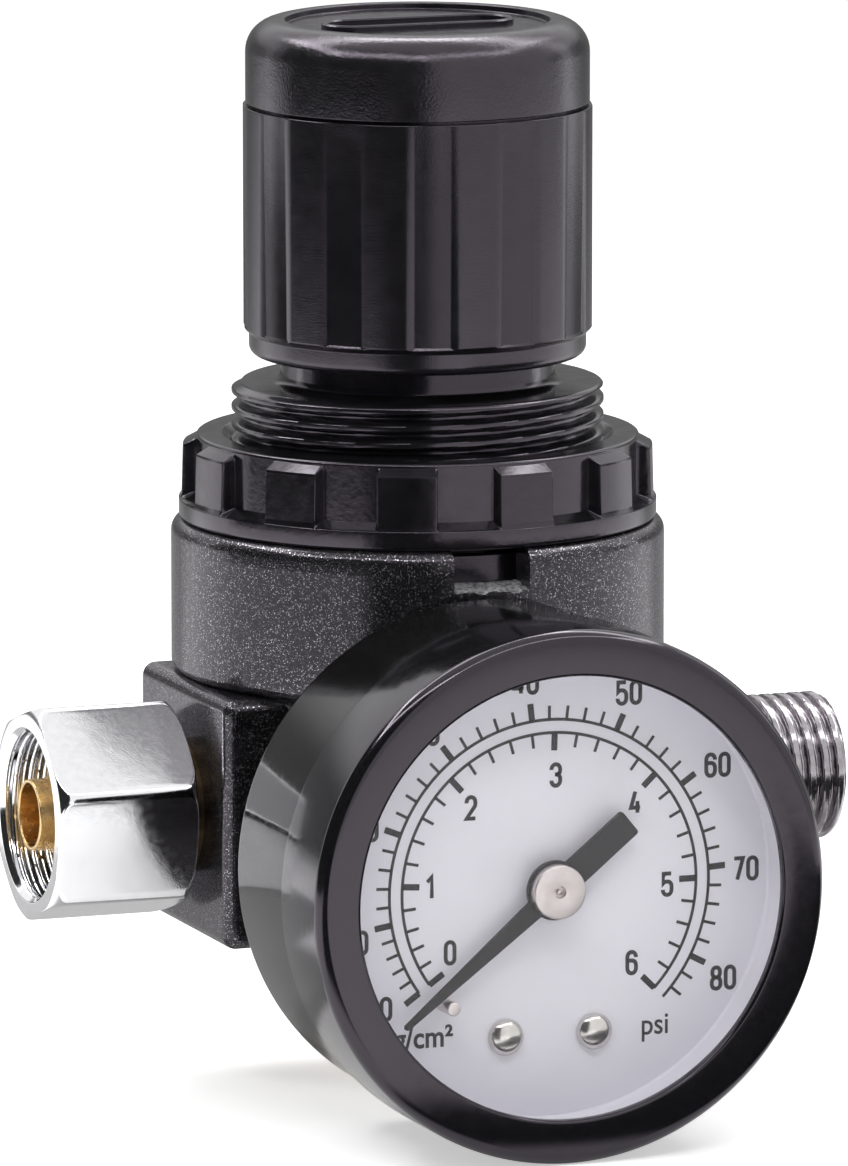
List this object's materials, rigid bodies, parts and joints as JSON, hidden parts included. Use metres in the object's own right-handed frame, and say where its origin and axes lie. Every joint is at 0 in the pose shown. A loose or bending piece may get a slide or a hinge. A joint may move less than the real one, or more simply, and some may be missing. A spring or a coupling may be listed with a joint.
{
  "type": "air pressure regulator",
  "caption": "In-line air pressure regulator with a fluted push-to-lock knob, ribbed ring nut, front dial gauge, threaded inlet and hexagonal swivel nut outlet.",
  "frame": {"origin": "on the pipe axis at the shoulder of the inlet thread", "axes": "+X out of the inlet along the pipe axis, -Y towards the gauge face, +Z along the knob axis up to the knob"},
  "size_m": [0.0749, 0.0678, 0.0934],
  "materials": {
    "body_paint": "gloss black with fine silver flecks",
    "black_moulding": "satin black",
    "chrome": "polished",
    "brass": "turned",
    "steel": "turned",
    "rubber": "matte",
    "white_moulding": "matte",
    "case_paint": "gloss black",
    "clear": "clear",
    "dial_paint": "matte white",
    "pointer_paint": "satin dark grey"
  },
  "bodies": {
    "housing": {"body": "body_paint", "bonnet": "black_moulding", "ring_nut": "black_moulding", "bottom_plug": "brass", "plug_o_ring": "rubber", "inlet_nipple": "chrome", "inlet_washer": "brass", "outlet_nipple": "brass", "outlet_washer": "brass", "diaphragm": "rubber", "main_spring": "steel", "valve_spring": "steel", "gauge_socket": "brass", "gauge_case": "case_paint", "case_screws": "steel", "gauge_bezel": "case_paint", "gauge_lens": "clear", "lens_gasket": "rubber", "gauge_dial": "dial_paint", "dial_screws": "steel", "dial_posts": "brass", "stop_pin": "steel", "hairspring": "brass", "movement_plate_front": "brass", "movement_plate_rear": "brass", "movement_pillars": "steel", "bourdon_tube": "brass"},
    "adjusting_screw": {"adjusting_screw": "steel", "thrust_washer": "white_moulding"},
    "knob": {"knob": "black_moulding"},
    "spring_nut": {"spring_nut": "brass"},
    "valve": {"valve_pin": "brass", "valve_poppet": "brass", "poppet_seal": "rubber", "diaphragm_plate": "steel", "relief_disc": "brass"},
    "pointer": {"pointer": "pointer_paint", "pointer_hub": "steel", "pinion_arbor": "brass"},
    "sector": {"sector_gear": "brass", "sector_arbor": "steel"},
    "tube_tip": {"tube_tip": "brass", "tip_link": "steel"},
    "swivel_nut": {"swivel_nut": "chrome"}
  },
  "joints": [
    {"name": "knob_turn", "type": "hinge", "parent": "housing", "child": "adjusting_screw", "pos_m": [-0.0275, 0, 0.05], "axis": [0, 0, -1], "range_deg": [0, 1440]},
    {"name": "knob_push", "type": "slide", "parent": "adjusting_screw", "child": "knob", "axis": [0, 0, -1], "range_m": [0, 0.002]},
    {"name": "nut_travel", "type": "slide", "parent": "housing", "child": "spring_nut", "axis": [0, 0, -1], "range_m": [0, 0.005], "deforming": ["main_spring"]},
    {"name": "valve_lift", "type": "slide", "parent": "housing", "child": "valve", "axis": [0, 0, -1], "range_m": [0, 0.001], "stiffness_N_per_m": 600, "springref_m": -0.003, "deforming": ["valve_spring", "diaphragm"]},
    {"name": "pointer_turn", "type": "hinge", "parent": "housing", "child": "pointer", "pos_m": [-0.0301, -0.036, -0.0015], "axis": [0, 1, 0], "range_deg": [0, 265], "stiffness_Nm_per_rad": 0.00002, "springref_deg": -11.46, "deforming": ["hairspring"]},
    {"name": "sector_turn", "type": "hinge", "parent": "housing", "child": "sector", "pos_m": [-0.0301, -0.034, -0.01416], "axis": [0, 1, 0], "range_deg": [-44.3, 0]},
    {"name": "tip_travel", "type": "slide", "parent": "housing", "child": "tube_tip", "axis": [0.6428, 0, 0.766], "range_m": [0, 0.00413], "deforming": ["bourdon_tube"]},
    {"name": "swivel_turn", "type": "hinge", "parent": "housing", "child": "swivel_nut", "pos_m": [-0.0579, 0, 0], "axis": [-1, 0, 0], "continuous": true}
  ],
  "couplings": [
    {"joint": "knob_turn", "follows": "nut_travel", "rad_per_m": 5026.5},
    {"joint": "pointer_turn", "follows": "tip_travel", "rad_per_m": 1118.4},
    {"joint": "sector_turn", "follows": "tip_travel", "rad_per_m": -186.4}
  ]
}
